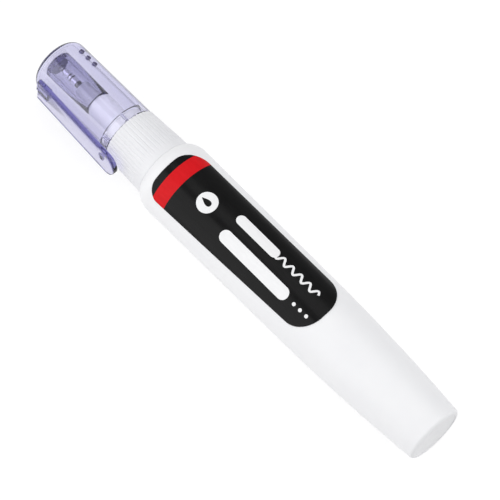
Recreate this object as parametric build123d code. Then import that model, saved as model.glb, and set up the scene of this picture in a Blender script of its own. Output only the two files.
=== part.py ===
from build123d import *
import math
import os

# Correction pen lying on its side. Sizes are in millimetres, angles in degrees.
# Every piece is drawn upright: the pen's axis is Z, the tail's flat face is at Z = 0 and the
# cap is on top. As it is written, a piece is laid down so that the tail faces +X, the cap
# points to -X and the drawing's +X becomes up. The origin is the centre of the tail face.

# Clearance of pieces that are pressed or snapped together
fit = 0.04

# Bottle: a soft squeeze bottle, widest at the shoulder, narrowing to a flat tail
body_length = 86.0
taper_length = 42.0
tail_narrowing = 2.05
body_draft = 0.4
shoulder_drop = 1.55
shoulder_rise = 4.0
tail_edge = 0.9
bottle_wall = 1.0
neck_radius = 6.2
neck_wall = 1.2
neck_length = 9.0
bead_height = 0.3
bead_width = 1.2
bead_rise = 3.0

# Printed label on the upper side, narrower and rounder at the rear; low is the side towards the clip
label_length = 51.6
label_overlap = 0.6
label_chord = 15.0
label_taper = 1.3
label_lean = 0.9
label_front_low_corner = 3.2
label_front_high_corner = 5.4
label_rear_corner = 6.1
label_thickness = 0.12
label_turn = 7.5
label_clearance = 0.02

# Fluted collar that holds the front on the neck
collar_wall = 1.31
collar_flare = 0.5
collar_lip = 1.7
collar_seat_margin = 0.15
flute_count = 44
flute_width = 0.45
flute_depth = 0.13
flute_margin = 1.3

# Gasket and tip holder: flange under the collar, spigot for the cap, valve tube, nozzle for the tip
gasket_thickness = 0.7
flange_thickness = 1.3
flange_inset = 0.2
flange_step = 0.2
spigot_wall = 1.2
spigot_length = 2.9
spigot_front_wall = 1.5
spigot_chamfer = 0.4
tube_length = 8.2
tube_front_wall = 0.75
nozzle_wall = 0.61
nozzle_flare = 0.3
nozzle_length = 6.1
nozzle_lip = 0.8
chamber_gap = 0.3
chamber_wall = 1.1
chamber_margin = 0.7

# Metal tip: hidden root, then three visible steps with turned grooves between them
tip_root_step = 0.5
tip_root_length = 4.6
tip_base_step = 0.21
tip_base_length = 4.4
tip_middle_step = 0.12
tip_middle_length = 2.3
tip_point_wall = 0.18
tip_point_length = 1.4
tip_end_wall = 0.12
tip_groove_depth = 0.06
tip_groove_width = 0.3

# Valve needle, its carrier, the spring and the plug that the spring stands on
needle_pin_radius = 0.3
needle_step = 0.08
needle_pin_length = 1.3
needle_cone = 0.2
needle_protrusion = 0.4
needle_running_gap = 0.06
needle_travel = 0.5
carrier_stub_gap = 0.25
carrier_slot_width = 0.5
carrier_slot_depth = 1.5
carrier_rim = 0.1
carrier_flange_thickness = 0.8
carrier_stem_wall = 0.53
carrier_stem_length = 1.0
spring_mean_radius = 1.35
spring_wire_radius = 0.15
spring_length = 5.9
spring_turns = 6
spring_end_gap = 0.05
plug_head = 0.9
plug_shank_length = 1.6
plug_bore = 0.6

# Cap: clear shell with an inner sleeve, a seal for the tip and a clip
cap_slack = 0.35
cap_wall = 1.25
cap_end_wall = 1.0
cap_end_round = 2.2
cap_mouth_gap = 0.1
cap_mouth_depth = 2.7
cap_mouth_step = 0.45
sleeve_slack = 0.1
sleeve_wall = 0.8
sleeve_flare = 0.8
sleeve_gap = 0.4
grip_rib_count = 6
grip_rib_width = 0.5
grip_rib_setback = 0.5
grip_rib_clearance = 0.08
vent_radius = 0.6
vent_count = 3
vent_pitch = 2.35
vent_setback = 4.7
vent_turn = -43.0
seal_grip = 0.3
seal_floor = 0.5
seal_clearance = 0.06
seal_end_gap = 0.1
seal_flute_count = 12
seal_flute_width = 0.7
seal_flute_depth = 0.3
clip_turn = 78.0
clip_length = 29.5
clip_width = 6.2
clip_thickness = 1.15
clip_standoff = 0.4
clip_lean = 2.65
clip_setback = 3.6
clip_edge_round = 0.25
clip_nub_radius = 1.3
clip_nub_height = 0.55
clip_nub_setback = 5.2
bridge_width = 3.6
bridge_length = 3.4
bridge_back = 0.7
hinge_clearance = 0.03

# Contents
ball_radius = 2.5
ball_gap = 0.2
lane_gap = 0.2
fluid_level = -0.3
fluid_gap = 0.05

# Radii from the neck outwards to the bottle
neck_bore = neck_radius - neck_wall
collar_bore = neck_radius + fit
collar_front_radius = collar_bore + collar_wall
collar_base_radius = collar_front_radius + collar_flare
seat_radius = collar_base_radius + collar_seat_margin
shoulder_radius = seat_radius + shoulder_drop
taper_radius = shoulder_radius - body_draft
tail_radius = taper_radius - tail_narrowing

# Radii from the neck inwards to the spigot, and out again to the cap and its clip
flange_radius = neck_radius - flange_inset
spigot_radius = flange_radius - flange_step
spigot_bore = spigot_radius - spigot_wall
cap_bore = spigot_radius + cap_slack
cap_radius = cap_bore + cap_wall
clip_inner_face = cap_radius + clip_standoff

# Radii from the needle outwards through the tip and the nozzle to the sleeve
needle_radius = needle_pin_radius + needle_step
tip_bore = needle_radius + needle_running_gap
tip_pin_bore = needle_pin_radius + needle_running_gap
tip_end_radius = tip_pin_bore + tip_end_wall
tip_point_radius = tip_bore + tip_point_wall
tip_middle_radius = tip_point_radius + tip_middle_step
tip_base_radius = tip_middle_radius + tip_base_step
tip_root_radius = tip_base_radius + tip_root_step
nozzle_front_radius = tip_root_radius + fit + nozzle_wall
nozzle_base_radius = nozzle_front_radius + nozzle_flare
sleeve_bore = nozzle_base_radius + sleeve_slack
sleeve_radius = sleeve_bore + sleeve_wall

# Radii about the spring
carrier_stub_radius = spring_mean_radius - spring_wire_radius - carrier_stub_gap
carrier_stem_radius = needle_radius + fit + carrier_stem_wall
carrier_flange_radius = spring_mean_radius + spring_wire_radius + carrier_rim
chamber_radius = carrier_flange_radius + chamber_gap
chamber_outside = chamber_radius + chamber_wall

# Heights above the tail, from the tail upwards
seat_height = body_length + shoulder_rise
neck_end = seat_height + neck_length
flange_height = neck_end + gasket_thickness
flange_top = flange_height + flange_thickness
collar_front = flange_top + collar_lip
spigot_front = collar_front + spigot_length
tube_front = spigot_front + tube_length
nozzle_front = tube_front + nozzle_length
tip_root_end = nozzle_front - nozzle_lip
tip_middle_start = nozzle_front + tip_base_length
tip_point_start = tip_middle_start + tip_middle_length
tip_end = tip_point_start + tip_point_length
needle_end = tip_end + needle_protrusion
seal_start = tip_end - seal_grip
seal_socket_end = needle_end + seal_end_gap
cap_ceiling = seal_socket_end + seal_floor
cap_end = cap_ceiling + cap_end_wall
cap_mouth = collar_front + cap_mouth_gap
sleeve_mouth = tube_front + sleeve_gap

# Valve chamber heights, from the tube's front wall down to the plug and up again
carrier_height = carrier_flange_thickness + carrier_stem_length
chamber_front = tube_front - tube_front_wall
chamber_rear = chamber_front - chamber_margin - carrier_height - spring_length - plug_shank_length
plug_front = chamber_rear + plug_shank_length
carrier_seat = plug_front + spring_length
carrier_front = carrier_seat + carrier_height
carrier_rear = plug_front + needle_travel + spring_end_gap

# Clip pivot, in the plane of the clip before it is turned about the pen's axis
pivot_radius = clip_inner_face + clip_thickness / 2
pivot_height = cap_end - clip_setback - clip_thickness / 2


def lathe(*points):
    """Solid of revolution about the pen's axis from (radius, height) corners."""
    return revolve(Plane.XZ * make_face(Polyline(*points, close=True)), Axis.Z)


def around(piece, count):
    """Copies of a piece spread evenly about the pen's axis."""
    return [Rot(0, 0, 360 * step / count) * piece for step in range(count)]


def bottle_form(inset, neck, top):
    """Solid bounded by the bottle's outside moved in by inset, with a neck of the given radius."""
    tail = Vector(tail_radius - inset, inset)
    taper = Vector(taper_radius - inset, taper_length)
    foot = Vector(shoulder_radius - inset, body_length)
    crown = Vector(seat_radius - inset, seat_height - inset)
    side = foot - taper
    outline = Line((0, inset), tail)
    outline += TangentArc(taper, tail, tangent=taper - foot)
    outline += Line(taper, foot)
    outline += TangentArc(foot, crown, tangent=side)
    outline += Polyline(crown, (neck, crown.Y), (neck, top), (0, top), (0, inset))
    return revolve(Plane.XZ * make_face(outline), Axis.Z)


def bottle_radius(height):
    """Outside radius of the bottle's body at a height below the shoulder."""
    slope = (shoulder_radius - taper_radius) / (body_length - taper_length)
    if height >= taper_length:
        return taper_radius + slope * (height - taper_length)
    inward = Vector(-1, slope).normalized()
    chord = Vector(tail_radius - taper_radius, -taper_length)
    arc_radius = chord.length ** 2 / (2 * chord.dot(inward))
    centre = Vector(taper_radius, taper_length) + inward * arc_radius
    return centre.X + math.sqrt(arc_radius ** 2 - (height - centre.Y) ** 2)


def neck_bead(extra):
    """Snap bead round the neck, made larger all over by extra for the groove that takes it."""
    low = seat_height + bead_rise - extra
    high = seat_height + bead_rise + bead_width + extra
    crest = (low + high) / 2
    root = neck_radius - neck_wall / 2
    crest_radius = neck_radius + bead_height + extra
    return lathe((root, low), (neck_radius, low), (crest_radius, crest), (neck_radius, high), (root, high))


def barrel():
    """Squeeze bottle with a hollow body, a rounded shoulder and a necked front."""
    outside = bottle_form(0, neck_radius, neck_end)
    tail_rim = outside.edges().group_by(Axis.Z)[0]
    outside = fillet(tail_rim, tail_edge) + neck_bead(0)
    return outside - bottle_form(bottle_wall, neck_bore, neck_end)


def label():
    """Thin panel with rounded corners, wrapped on the upper side of the bottle from the shoulder down."""
    outer = bottle_form(-label_clearance - label_thickness, neck_radius, neck_end)
    inner = bottle_form(-label_clearance, neck_radius, neck_end)
    front = body_length + label_overlap
    rear = front - label_length
    half_front = label_chord / 2
    half_rear = half_front - label_taper / 2
    corners = {
        (-half_front - label_lean / 2, front): label_front_low_corner,
        (half_front - label_lean / 2, front): label_front_high_corner,
        (half_rear + label_lean / 2, rear): label_rear_corner,
        (label_lean / 2 - half_rear, rear): label_rear_corner,
    }
    panel = make_face(Polyline(*corners, close=True))
    for corner, size in corners.items():
        panel = fillet(panel.vertices().sort_by_distance(corner)[0], size)
    prism = extrude(Plane.YZ * panel, 2 * shoulder_radius)
    return Rot(0, 0, -label_turn) * ((outer - inner) & prism)


def collar():
    """Fluted ring that snaps over the neck and clamps the tip holder's flange."""
    ring = lathe(
        (collar_bore, seat_height),
        (collar_base_radius, seat_height),
        (collar_front_radius, collar_front),
        (spigot_radius + fit, collar_front),
        (spigot_radius + fit, flange_top),
        (collar_bore, flange_top),
    )
    height = collar_front - seat_height - flute_margin
    middle = collar_front - height / 2
    lean = math.degrees(math.atan2(collar_base_radius - collar_front_radius, collar_front - seat_height))
    share = (middle - seat_height) / (collar_front - seat_height)
    surface = collar_base_radius + (collar_front_radius - collar_base_radius) * share
    cutter_radius = (flute_width ** 2 / 4 + flute_depth ** 2) / (2 * flute_depth)
    reach = surface + cutter_radius - flute_depth
    flute = Pos(reach, 0, middle) * Rot(0, -lean, 0) * Cylinder(cutter_radius, height + flute_depth)
    return ring - neck_bead(fit) - around(flute, flute_count)


def gasket():
    """Soft ring between the neck's end and the tip holder's flange."""
    return lathe(
        (spigot_bore, neck_end),
        (flange_radius, neck_end),
        (flange_radius, flange_height),
        (spigot_bore, flange_height),
    )


def tip_holder():
    """Flanged moulding with a spigot for the cap, the valve tube on it and the nozzle in front."""
    root_bore = tip_root_radius + fit
    tube_radius = sleeve_radius
    return lathe(
        (spigot_bore, flange_height),
        (flange_radius, flange_height),
        (flange_radius, flange_top),
        (spigot_radius, flange_top),
        (spigot_radius, spigot_front - spigot_chamfer),
        (spigot_radius - spigot_chamfer, spigot_front),
        (tube_radius, spigot_front),
        (tube_radius, tube_front),
        (nozzle_base_radius, tube_front),
        (nozzle_front_radius, nozzle_front),
        (tip_base_radius + fit, nozzle_front),
        (tip_base_radius + fit, tip_root_end),
        (root_bore, tip_root_end),
        (root_bore, chamber_front),
        (chamber_radius, chamber_front),
        (chamber_radius, chamber_rear),
        (chamber_outside, chamber_rear),
        (chamber_outside, spigot_front - spigot_front_wall),
        (spigot_bore, spigot_front - spigot_front_wall),
    )


def metal_tip():
    """Stepped metal tube, pushed in from behind, with a narrow hole for the needle's pin."""
    seat = tip_end - needle_pin_length + needle_protrusion + needle_running_gap
    base_groove = tip_middle_start - tip_groove_width
    middle_groove = tip_point_start - tip_groove_width
    return lathe(
        (tip_bore, tip_root_end - tip_root_length),
        (tip_root_radius, tip_root_end - tip_root_length),
        (tip_root_radius, tip_root_end),
        (tip_base_radius, tip_root_end),
        (tip_base_radius, base_groove),
        (tip_middle_radius - tip_groove_depth, base_groove),
        (tip_middle_radius - tip_groove_depth, tip_middle_start),
        (tip_middle_radius, tip_middle_start),
        (tip_middle_radius, middle_groove),
        (tip_point_radius - tip_groove_depth, middle_groove),
        (tip_point_radius - tip_groove_depth, tip_point_start),
        (tip_point_radius, tip_point_start),
        (tip_end_radius, tip_end),
        (tip_pin_bore, tip_end),
        (tip_pin_bore, seat + needle_cone),
        (tip_bore, seat),
    )


def valve_needle():
    """Steel needle whose thinner pin stands out of the tip and is pushed back in writing."""
    cone_end = needle_end - needle_pin_length + needle_cone
    nose = needle_pin_radius / 2
    return lathe(
        (0, carrier_seat),
        (needle_radius, carrier_seat),
        (needle_radius, cone_end - needle_cone),
        (needle_pin_radius, cone_end),
        (needle_pin_radius, needle_end - nose),
        (needle_pin_radius - nose, needle_end),
        (0, needle_end),
    )


def needle_carrier():
    """Plastic holder for the needle: a flange for the spring and a slotted stub that stops on the plug."""
    bore = needle_radius + fit
    flange_front = carrier_seat + carrier_flange_thickness
    turned = lathe(
        (0, carrier_rear),
        (carrier_stub_radius, carrier_rear),
        (carrier_stub_radius, carrier_seat),
        (carrier_flange_radius, carrier_seat),
        (carrier_flange_radius, flange_front),
        (carrier_stem_radius, flange_front),
        (carrier_stem_radius, carrier_front),
        (bore, carrier_front),
        (bore, carrier_seat - fit),
        (0, carrier_seat - fit),
    )
    slot_size = (2 * carrier_stub_radius, carrier_slot_width, carrier_slot_depth)
    slot = Pos(0, 0, carrier_rear) * Box(*slot_size, align=(Align.CENTER, Align.CENTER, Align.MIN))
    return turned - slot


def return_spring():
    """Compression spring between the plug and the carrier's flange."""
    rise = spring_length - 2 * (spring_wire_radius + spring_end_gap)
    foot = plug_front + spring_wire_radius + spring_end_gap
    path = Helix(rise / spring_turns, rise, spring_mean_radius, center=(0, 0, foot))
    wire = Plane(path @ 0, z_dir=path % 0) * Circle(spring_wire_radius)
    return sweep(wire, path=path, is_frenet=True)


def valve_plug():
    """Plug in the rear of the valve chamber, with the hole that lets the fluid in."""
    return lathe(
        (plug_bore, chamber_rear - plug_head),
        (chamber_outside, chamber_rear - plug_head),
        (chamber_outside, chamber_rear),
        (chamber_radius - fit, chamber_rear),
        (chamber_radius - fit, plug_front),
        (plug_bore, plug_front),
    )


def clip_blank(extra):
    """Flat tongue with a round root and a round free end, made thicker all over by extra."""
    half_width = clip_width / 2
    straight = clip_length - clip_thickness / 2 - half_width
    thickness = clip_thickness + 2 * extra
    face = Pos(0, -straight / 2) * Rectangle(clip_width + 2 * extra, straight)
    face += Pos(0, -straight) * Circle(half_width + extra)
    tongue = Pos(-thickness / 2, 0, 0) * extrude(Plane.YZ * face, thickness)
    root = Rot(90, 0, 0) * Cylinder(thickness / 2, clip_width + 2 * extra)
    return tongue, root


def seat_clip(piece):
    """Carry a piece drawn about the clip's pivot to its place on the cap."""
    return Rot(0, 0, -clip_turn) * Pos(pivot_radius, 0, pivot_height) * Rot(0, -clip_lean, 0) * piece


def cap_clip():
    """Springy clip, rounded at the root where it turns on the cap's bridge."""
    tongue, root = clip_blank(0)
    outer_rim = tongue.faces().sort_by(Axis.X)[-1].edges()
    tongue = fillet(outer_rim.filter_by(lambda rim: rim.center().Z < -clip_thickness), clip_edge_round)
    tip = clip_thickness / 2 - clip_length
    inner_face = -clip_thickness / 2
    ball_centre = inner_face - clip_nub_height + clip_nub_radius
    nub = Pos(ball_centre, 0, tip + clip_nub_setback) * Sphere(clip_nub_radius)
    nub &= Pos(inner_face, 0, tip + clip_nub_setback) * Box(clip_thickness, clip_width, clip_width)
    return seat_clip(tongue + root + nub)


def cap_bridge():
    """Block that carries the clip, hollowed round the clip's root."""
    inner = cap_radius - cap_wall / 2
    top = pivot_height + clip_thickness / 2 + bridge_back
    size = (pivot_radius - inner, bridge_width, bridge_length + bridge_back)
    block = Pos(inner, 0, top) * Box(*size, align=(Align.MIN, Align.CENTER, Align.MAX))
    tongue, root = clip_blank(hinge_clearance)
    return Rot(0, 0, -clip_turn) * block - seat_clip(tongue + root)


def cap_shell():
    """Clear cap: outer wall, domed end, grip ribs, vents and the clip's bridge."""
    step_height = cap_mouth + cap_mouth_depth
    shell = lathe(
        (cap_bore + cap_mouth_step, cap_mouth),
        (cap_radius, cap_mouth),
        (cap_radius, cap_end),
        (0, cap_end),
        (0, cap_ceiling),
        (cap_bore, cap_ceiling),
        (cap_bore, step_height),
        (cap_bore + cap_mouth_step, step_height),
    )
    end_rim = shell.edges().group_by(Axis.Z)[-1]
    shell = fillet(end_rim, cap_end_round)
    rib_foot = cap_mouth + grip_rib_setback
    rib_inner = spigot_radius + grip_rib_clearance
    rib_size = (cap_radius - cap_wall / 2 - rib_inner, grip_rib_width, spigot_front - rib_foot)
    rib = Pos(rib_inner, 0, rib_foot) * Box(*rib_size, align=(Align.MIN, Align.CENTER, Align.MIN))
    shell = shell + around(rib, grip_rib_count) + cap_bridge()
    for step in range(vent_count):
        height = cap_end - vent_setback - vent_pitch * step
        drill = Pos(cap_radius, 0, height) * Rot(0, 90, 0) * Cylinder(vent_radius, 2 * cap_wall)
        shell -= Rot(0, 0, -vent_turn) * drill
    return shell


def inner_sleeve():
    """Tube fixed to the cap's ceiling, which closes round the nozzle and carries the seal."""
    return lathe(
        (sleeve_bore, sleeve_mouth),
        (sleeve_radius, sleeve_mouth),
        (sleeve_radius + sleeve_flare, cap_ceiling),
        (sleeve_bore, cap_ceiling),
    )


def tip_seal():
    """Soft fluted plug at the end of the sleeve, with a socket for the metal tip."""
    radius = sleeve_bore - fit
    entry = tip_point_radius + seal_clearance
    floor = tip_end_radius + seal_clearance
    plug = lathe(
        (entry, seal_start),
        (radius, seal_start),
        (radius, cap_ceiling),
        (0, cap_ceiling),
        (0, seal_socket_end),
        (floor, seal_socket_end),
        (floor, tip_end),
    )
    cutter_radius = (seal_flute_width ** 2 / 4 + seal_flute_depth ** 2) / (2 * seal_flute_depth)
    height = cap_ceiling - seal_start
    reach = radius + cutter_radius - seal_flute_depth
    flute = Pos(reach, 0, seal_start + height / 2) * Cylinder(cutter_radius, height)
    return plug - around(flute, seal_flute_count)


def ball_place(height):
    """Centre of the mixing ball where it lies on the bottle's lower wall."""
    return Vector(ball_radius + ball_gap + bottle_wall - bottle_radius(height), 0, height)


ball_rear = ball_place(bottle_wall + ball_radius + ball_gap)
ball_front = ball_place(body_length - ball_radius)


def mixing_ball():
    """Steel ball that stirs the fluid when the pen is shaken, at rest at the shoulder, its lowest place."""
    return Pos(ball_front) * Sphere(ball_radius)


def fluid():
    """Settled fluid in the lower part of the bottle, with a lane left for the mixing ball."""
    inset = bottle_wall + fluid_gap
    pool = bottle_form(inset, neck_bore - fluid_gap, neck_end - fluid_gap)
    depth = 2 * shoulder_radius
    below = Pos(fluid_level, 0, 0) * Box(depth, depth, neck_end, align=(Align.MAX, Align.CENTER, Align.MIN))
    lane_radius = ball_radius + lane_gap
    lane = Pos(ball_rear) * Sphere(lane_radius) + Pos(ball_front) * Sphere(lane_radius)
    path = Plane(ball_rear, z_dir=ball_front - ball_rear)
    run = (ball_front - ball_rear).length
    lane += path * Cylinder(lane_radius, run, align=(Align.CENTER, Align.CENTER, Align.MIN))
    return (pool & below) - lane


pieces = {
    "barrel": barrel(),
    "label": label(),
    "fluted_collar": collar(),
    "neck_gasket": gasket(),
    "tip_holder": tip_holder(),
    "metal_tip": metal_tip(),
    "valve_needle": valve_needle(),
    "needle_carrier": needle_carrier(),
    "return_spring": return_spring(),
    "valve_plug": valve_plug(),
    "cap_shell": cap_shell(),
    "inner_sleeve": inner_sleeve(),
    "tip_seal": tip_seal(),
    "cap_clip": cap_clip(),
    "mixing_ball": mixing_ball(),
    "correction_fluid": fluid(),
}

os.makedirs("parts", exist_ok=True)
for name, piece in pieces.items():
    laid_down = Rot(0, -90, 0) * piece
    export_step(laid_down, os.path.join("parts", name + ".step"))
    print(name, round(laid_down.volume, 2), "mm3")
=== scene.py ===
import math

import bmesh
import bpy
from mathutils import Matrix, Vector


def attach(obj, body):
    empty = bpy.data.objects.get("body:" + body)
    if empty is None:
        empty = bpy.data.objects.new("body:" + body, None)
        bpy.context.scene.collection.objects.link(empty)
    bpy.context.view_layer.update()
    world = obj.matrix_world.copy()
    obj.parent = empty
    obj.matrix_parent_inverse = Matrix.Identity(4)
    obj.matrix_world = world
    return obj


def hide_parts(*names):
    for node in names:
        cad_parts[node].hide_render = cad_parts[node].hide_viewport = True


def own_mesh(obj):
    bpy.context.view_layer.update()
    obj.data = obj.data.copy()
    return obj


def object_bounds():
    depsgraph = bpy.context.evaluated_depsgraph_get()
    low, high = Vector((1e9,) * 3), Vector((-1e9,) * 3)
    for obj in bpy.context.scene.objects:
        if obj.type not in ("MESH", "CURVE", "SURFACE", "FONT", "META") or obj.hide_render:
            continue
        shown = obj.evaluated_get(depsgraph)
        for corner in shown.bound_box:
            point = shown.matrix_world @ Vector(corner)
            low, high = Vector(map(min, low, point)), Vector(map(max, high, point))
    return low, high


# A correction pen on a white floor. Lengths are in millimetres along the pen's own axis: a height is
# counted from the tail face, a radius from the axis, and a turn in degrees from the top towards -Y.
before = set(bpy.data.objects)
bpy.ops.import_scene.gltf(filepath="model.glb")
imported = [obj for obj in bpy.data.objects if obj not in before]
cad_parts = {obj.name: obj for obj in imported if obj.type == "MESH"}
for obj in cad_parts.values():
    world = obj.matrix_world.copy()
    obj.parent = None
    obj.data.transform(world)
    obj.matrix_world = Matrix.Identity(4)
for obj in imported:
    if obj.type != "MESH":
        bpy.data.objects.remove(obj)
cad_low, cad_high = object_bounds()
MM = 0.001

# Bottle
body_length = 86.0
taper_length = 42.0
tail_radius = 7.3
taper_radius = 9.35
shoulder_radius = 9.75
seat_radius = 8.2
seat_height = 90.0
tail_edge = 0.9
dish_margin = 0.25
dish_depth = 0.2
bottle_wall = 1.0
neck_radius = 6.2
neck_bore = 5.0
neck_end = 99.0
bead_rise = 3.0
bead_width = 1.2
bead_height = 0.3

# Label
label_front = 86.6
label_rear = 35.0
label_chord = 15.0
label_taper = 1.3
label_lean = 0.9
label_turn = 7.5
label_front_low_corner = 3.2
label_front_high_corner = 5.4
label_rear_corner = 6.1
label_underside = 0.02
label_top = 0.12

# Print on the label: a red band, two broad strokes, a thin scribble that runs on from the short one, dots
# in line with the long one, and a drop in a disc. A dot and the disc are bars hardly longer than wide.
print_top = 0.13
mark_top = 0.138
band_front = 84.7
band_rear = 80.8
band_width_share = 0.996
stroke_front = 66.0
long_stroke_rear = 44.0
long_stroke_across = 2.9
long_stroke_width = 3.2
short_stroke_rear = 52.5
short_stroke_across = -2.4
short_stroke_width = 2.6
scribble_front = 53.2
scribble_rear = 39.4
scribble_waves = 5
scribble_height = 0.75
scribble_width = 0.55
dot_count = 3
dot_rear = 37.4
dot_width = 0.9
dot_length = 1.01 * dot_width
dot_pitch = 2.0
disc_height = 73.4
disc_across = 0.3
disc_radius = 2.6
disc_front_radius = 1.001 * disc_radius
drop_radius = 1.05
drop_reach = 1.45 * drop_radius
drop_rise = 0.35
drop_sharpness = 1.5

# Collar
collar_base_radius = 8.05
collar_front_radius = 7.55
collar_front = 102.7
collar_bore = 6.24
collar_lip_bore = 5.84
collar_foot_edge = 0.2
collar_front_edge = 0.16
collar_lip_edge = 0.1
flange_top = 101.0
flute_count = 44
flute_width = 0.45
flute_depth = 0.13
flute_margin = 1.3
flute_fade = 1.6

# Tip holder and metal tip
flange_radius = 6.0
flange_height = 99.7
spigot_radius = 5.8
spigot_bore = 4.6
spigot_front = 105.6
spigot_front_wall = 1.5
spigot_chamfer = 0.4
tube_radius = 3.3
tube_front = 113.8
nozzle_base_radius = 2.4
nozzle_front_radius = 2.1
nozzle_front = 119.9
chamber_radius = 1.9
chamber_outside = 3.0
chamber_rear = 103.05
chamber_front = 113.05
holder_edge = 0.15
tip_root_end = 119.1
tip_root_length = 4.6
tip_root_radius = 1.45
tip_base_radius = 0.95
tip_middle_radius = 0.74
tip_point_radius = 0.62
tip_end_radius = 0.48
tip_bore = 0.44
tip_pin_bore = 0.36
tip_middle_start = 124.3
tip_point_start = 126.6
tip_end = 128.0
tip_seat = 127.16
tip_seat_rise = 0.2
tip_groove_width = 0.3
tip_groove_depth = 0.06
tip_edge = 0.05
fit = 0.04

# Dark rings of painted shade on the metal tip, at its foot, on its base and at its steps
foot_ring_length = 1.7
base_ring_setback = 1.2
base_ring_length = 0.35
ring_margin = 0.1

# Cap
cap_radius = 7.4
cap_bore = 6.15
cap_mouth = 102.8
cap_end = 130.0
cap_ceiling = 129.0
cap_end_round = 2.2
cap_ceiling_round = 0.9
cap_mouth_edge = 0.12
cap_mouth_depth = 2.7
cap_mouth_step = 0.45
grip_rib_count = 6
grip_rib_width = 0.5
grip_rib_setback = 0.5
grip_rib_inner = 5.88
grip_rib_end = 0.02
grip_rib_side = 0.4
vent_radius = 0.6
vent_count = 3
vent_pitch = 2.35
vent_setback = 4.7
vent_turn = -43.0
vent_tool_reach = 0.8
vent_wall_reach = 1.01
vent_wall_lean = 0.3

# Sleeve and seal
sleeve_bore = 2.5
sleeve_mouth_bore = 2.8
sleeve_radius = 3.45
sleeve_root_radius = 3.75
sleeve_mouth = 114.2
sleeve_edge = 0.12
sleeve_air = 0.02
seal_start = 127.7
seal_radius = 2.52
seal_edge = 0.12
seal_air = 0.01
seal_mouth_radius = 0.75
seal_mouth_edge = 0.07
seal_mouth_rise = 0.05
seal_socket_radius = 0.54
seal_socket_end = 128.5
seal_flute_count = 12
seal_flute_width = 0.7
seal_flute_depth = 0.3

# Clip and the block that carries it
clip_turn = 78.0
clip_length = 29.5
clip_width = 6.2
clip_thickness = 1.15
clip_lean = 2.65
clip_edge_round = 0.25
clip_end_sweep = 88.5
clip_nub_radius = 1.3
clip_nub_height = 0.55
clip_nub_setback = 5.2
clip_nub_sink = 0.15
pivot_radius = 8.375
pivot_height = 125.825
bridge_width = 3.6
bridge_length = 3.4
bridge_back = 0.7
bridge_sink = 0.6
bridge_edge_round = 0.55
bridge_end_step = 0.1
hinge_clearance = 0.03
hinge_edge_round = 0.02

# Fineness of the meshes
round_count = 144
holder_round_count = 96
tip_round_count = 64
flute_steps = 16
seal_flute_steps = 14
arc_steps = 6
collar_edge_steps = 4
ceiling_steps = 5
label_corner_steps = 20
side_rows = 60
collar_rows = 26
cap_rows = 24
bore_row_count = 4
bore_row_pitch = 5.0
bore_row_top = 124.0
cap_middle_share = 0.35
clip_steps = 12
scribble_steps = 90
drop_steps = 48
panel_pitch_along = 1.5
panel_pitch_across = 0.35
same_point = 1e-4
nearly_straight = 165.0
corner_share = 0.45
round_limit = 0.98
crease_angle = 32.0
collar_crease_angle = 40.0


def place(radius, height, turn):
    """Point of the frame, in metres, from a radius, a height and a turn."""
    angle = math.radians(turn)
    return Vector((-height, -radius * math.sin(angle), radius * math.cos(angle))) * MM


def even_turns(count):
    """Turns spread evenly round the pen."""
    return [360 * step / count for step in range(count)]


def from_nearest(turn, count):
    """Turn from the nearest of a number of evenly spread turns."""
    pitch = 360 / count
    return (turn + pitch / 2) % pitch - pitch / 2


def arc_between(start, end, centre, steps):
    """Points of an arc in the plane of radius and height, both ends included."""
    first = Vector(start) - Vector(centre)
    last = Vector(end) - Vector(centre)
    sweep = first.angle_signed(last)
    turned = [Matrix.Rotation(-sweep * step / steps, 2) @ first for step in range(steps + 1)]
    return [tuple(Vector(centre) + spoke) for spoke in turned]


def soften(points, sizes, steps=arc_steps):
    """Closed outline with its corners rounded, except those on the axis and nearly straight ones.

    The sizes are one size for all corners, or a tuple with one per corner.
    """
    outline = []
    count = len(points)
    for index, point in enumerate(points):
        size = sizes[index] if isinstance(sizes, tuple) else sizes
        corner = Vector(point)
        before = Vector(points[index - 1]) - corner
        after = Vector(points[(index + 1) % count]) - corner
        if corner.x == 0 or before.angle(after) > math.radians(nearly_straight):
            outline.append(tuple(corner))
            continue
        half = before.angle(after) / 2
        reach = min(size / math.tan(half), corner_share * before.length, corner_share * after.length)
        middle = (before.normalized() + after.normalized()).normalized()
        centre = corner + middle * reach * math.tan(half) / math.sin(half)
        start = corner + before.normalized() * reach
        end = corner + after.normalized() * reach
        outline += arc_between(start, end, centre, steps)
    return outline


def join_rings(mesh, first, second):
    """Faces between two neighbouring rings, either of which may be a single point."""
    count = max(len(first), len(second))
    if count == 1:
        return
    for step in range(count):
        nearby = (step + 1) % count
        corners = [first[step % len(first)], first[nearby % len(first)]]
        corners += [second[nearby % len(second)], second[step % len(second)]]
        mesh.faces.new(list(dict.fromkeys(corners)))


def spin(profile, turns, shape=None):
    """Closed mesh turned about the pen's axis. The shape may change a radius from place to place."""
    mesh = bmesh.new()
    rings = []
    for row, (radius, height) in enumerate(profile):
        if radius == 0:
            rings.append([mesh.verts.new(place(0, height, 0))])
            continue
        ring = []
        for turn in turns:
            reach = shape(row, radius, height, turn) if shape else radius
            ring.append(mesh.verts.new(place(reach, height, turn)))
        rings.append(ring)
    for row, ring in enumerate(rings):
        join_rings(mesh, rings[row - 1], ring)
    bmesh.ops.recalc_face_normals(mesh, faces=mesh.faces)
    return mesh


def shade(data, crease=crease_angle):
    """Shade a mesh smooth, except at edges that bend by more than the crease."""
    data.shade_smooth()
    data.set_sharp_from_angle(angle=math.radians(crease))


def finish_mesh(mesh, name, crease=crease_angle):
    """Object made from a finished mesh."""
    data = bpy.data.meshes.new(name)
    mesh.to_mesh(data)
    mesh.free()
    shade(data, crease)
    piece = bpy.data.objects.new(name, data)
    bpy.context.scene.collection.objects.link(piece)
    return piece


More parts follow.
